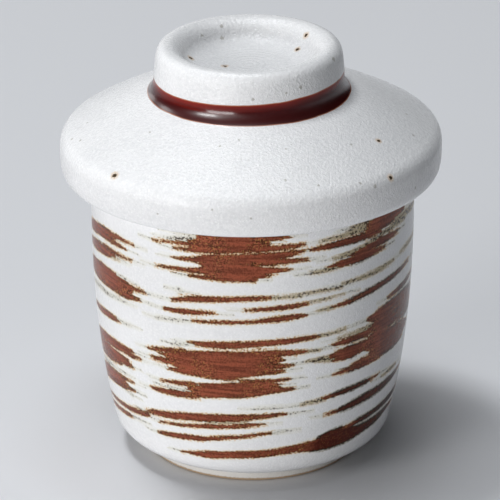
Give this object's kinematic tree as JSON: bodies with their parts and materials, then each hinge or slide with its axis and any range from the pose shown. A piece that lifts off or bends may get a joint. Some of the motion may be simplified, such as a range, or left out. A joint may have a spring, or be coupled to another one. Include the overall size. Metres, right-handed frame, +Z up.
{
  "type": "lidded steaming cup",
  "caption": "Tall stoneware cup on a foot ring, with an overhanging domed lid that lifts off by a ring knob, for steaming and serving savoury custard.",
  "frame": {"origin": "middle of the foot ring's underside, on the table", "axes": "+Z up along the axis that the cup and the lid are turned round, +X and +Y square to it, with -Y towards the picture's camera"},
  "size_m": [0.088, 0.088, 0.098],
  "materials": {
    "cup_glaze": "white pebbled stoneware glaze with brown iron brush strokes, bare clay on the foot ring and rim",
    "lid_glaze": "white pebbled stoneware glaze with iron specks, glossy red-brown collar at the knob, bare clay on the seat"
  },
  "bodies": {
    "cup": {"cup": "cup_glaze"},
    "lid": {"lid": "lid_glaze"}
  },
  "joints": [
    {"name": "lid_lift", "type": "slide", "parent": "cup", "child": "lid", "axis": [0, 0, 1], "range_m": [0, 0.08]}
  ]
}
